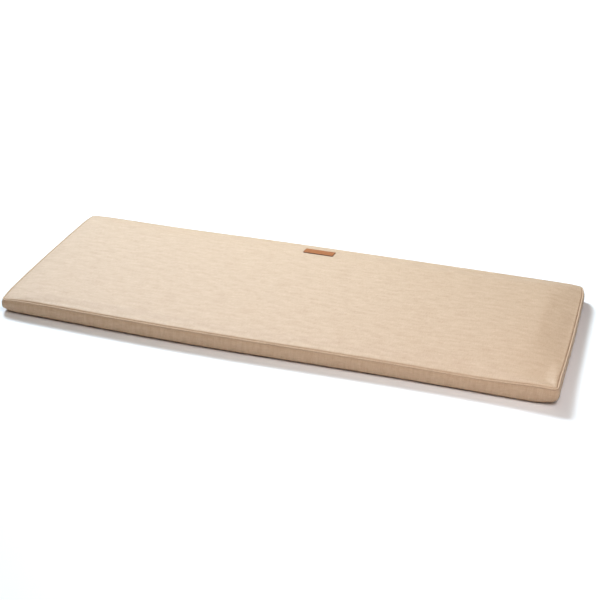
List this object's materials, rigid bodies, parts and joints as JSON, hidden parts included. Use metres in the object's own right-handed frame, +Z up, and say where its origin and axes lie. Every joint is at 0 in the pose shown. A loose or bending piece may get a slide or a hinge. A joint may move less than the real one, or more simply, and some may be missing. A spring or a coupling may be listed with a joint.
{
  "type": "bench cushion",
  "caption": "Long, flat, boxed bench cushion with a softly crowned top, a narrow side band, piping along the upper seam and a small bare leather label; it lies on a bench as a seat pad.",
  "frame": {"origin": "middle of the underside, on the surface that the cushion lies on", "axes": "+X along the length, to the right as seen from the front; +Y from the front towards the back, where the label is; +Z up"},
  "size_m": [1.2042, 0.4603, 0.0446],
  "materials": {
    "cover_cloth": "matt linen-look plain weave in beige, with slubs",
    "label_leather": "smooth tan vegetable-tanned leather, satin"
  },
  "bodies": {
    "root": {"cushion_body": "cover_cloth", "side_band": "cover_cloth", "piping": "cover_cloth", "leather_label": "label_leather"}
  },
  "joints": []
}
